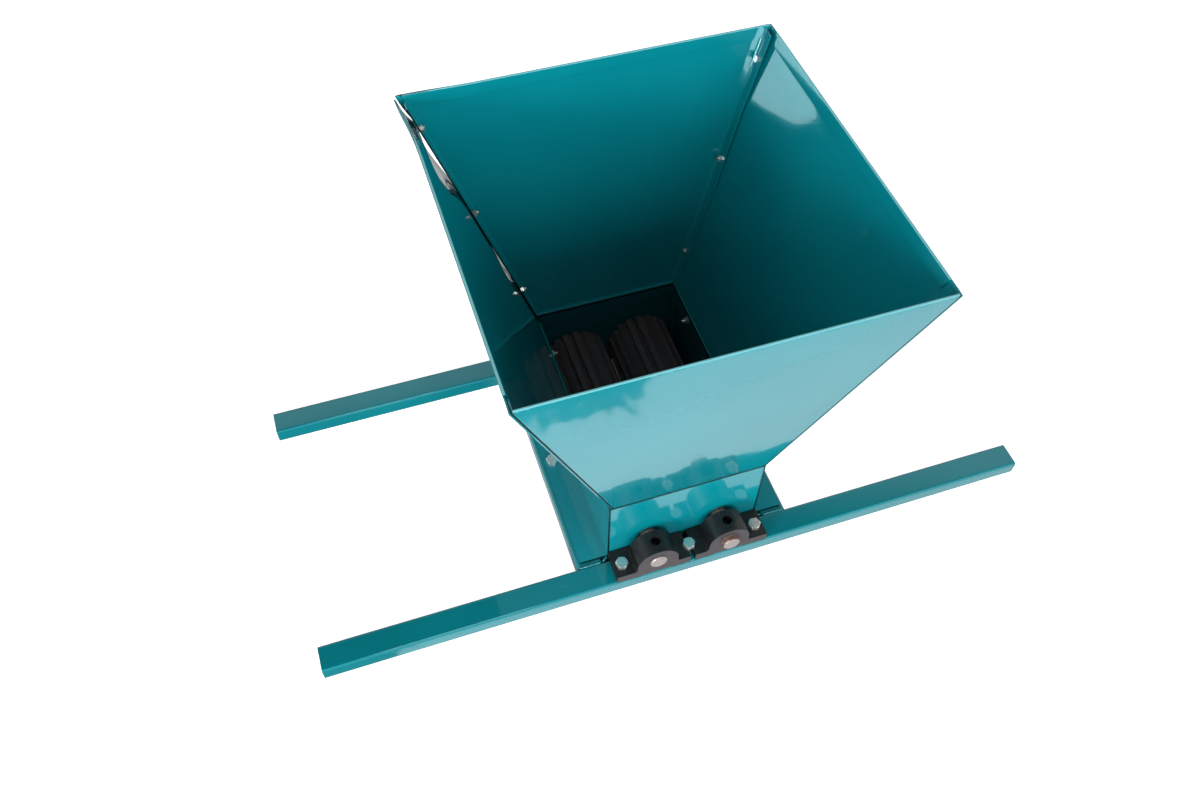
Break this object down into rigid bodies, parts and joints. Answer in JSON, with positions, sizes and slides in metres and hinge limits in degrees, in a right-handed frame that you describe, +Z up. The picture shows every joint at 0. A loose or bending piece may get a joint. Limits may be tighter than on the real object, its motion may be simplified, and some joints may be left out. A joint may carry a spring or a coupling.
{
  "type": "grape crusher",
  "caption": "Hand-cranked grape crusher: a square sheet hopper over a box with fluted rollers in bearing blocks, on long tube rails that lie across a tub.",
  "frame": {"origin": "middle of the tube frame on the plane that it rests on", "axes": "+X along the rails, +Y across them from the front rail to the rear rail and the crank, +Z up out of the hopper"},
  "size_m": [0.84, 0.5252, 0.43],
  "materials": {
    "teal_paint": "glossy enamel on sheet and tube",
    "zinc": "zinc-plated fasteners",
    "block_iron": "matte black casting with bare grey end faces",
    "shaft_steel": "bare turned steel with a trace of rust",
    "gear_iron": "bare cut teeth",
    "roller_black": "matte black, fluted along its length",
    "grip_black": "smooth matte black"
  },
  "bodies": {
    "frame": {"front_rail": "teal_paint", "rear_rail": "teal_paint", "rail_end_plates": "teal_paint", "left_cross_tube": "teal_paint", "right_cross_tube": "teal_paint", "box_front_wall": "teal_paint", "box_rear_wall": "teal_paint", "box_left_wall": "teal_paint", "box_right_wall": "teal_paint", "hopper_front_sheet": "teal_paint", "hopper_back_sheet": "teal_paint", "hopper_left_sheet": "teal_paint", "hopper_right_sheet": "teal_paint", "weld_nuts": "zinc", "box_bolts": "zinc", "seam_bolts": "zinc", "seam_nuts": "zinc", "collar_bolts": "zinc", "collar_washers": "zinc", "collar_nuts": "zinc", "bearing_bolts": "zinc", "bearing_block_front_left": "block_iron", "bearing_block_front_right": "block_iron", "bearing_block_rear_left": "block_iron", "bearing_block_rear_right": "block_iron"},
    "drive": {"drive_shaft": "shaft_steel", "drive_roller": "roller_black", "drive_roller_pins": "shaft_steel", "drive_gear": "gear_iron", "drive_gear_pin": "zinc", "crank_arm": "teal_paint", "crank_screw": "zinc", "crank_spindle": "zinc", "crank_spindle_nut": "zinc"},
    "idler": {"idler_shaft": "shaft_steel", "idler_roller": "roller_black", "idler_roller_pins": "shaft_steel", "idler_gear": "gear_iron", "idler_gear_pin": "zinc"},
    "grip": {"crank_grip": "grip_black"}
  },
  "joints": [
    {"name": "drive_spin", "type": "hinge", "parent": "frame", "child": "drive", "pos_m": [0.0425, 0, 0.045], "axis": [0, 1, 0], "continuous": true},
    {"name": "idler_spin", "type": "hinge", "parent": "frame", "child": "idler", "pos_m": [-0.0425, 0, 0.045], "axis": [0, 1, 0], "continuous": true},
    {"name": "grip_spin", "type": "hinge", "parent": "drive", "child": "grip", "pos_m": [0.22003, 0.27, 0.0153], "axis": [0, 1, 0], "continuous": true}
  ],
  "couplings": [
    {"joint": "idler_spin", "follows": "drive_spin", "ratio": -1}
  ]
}
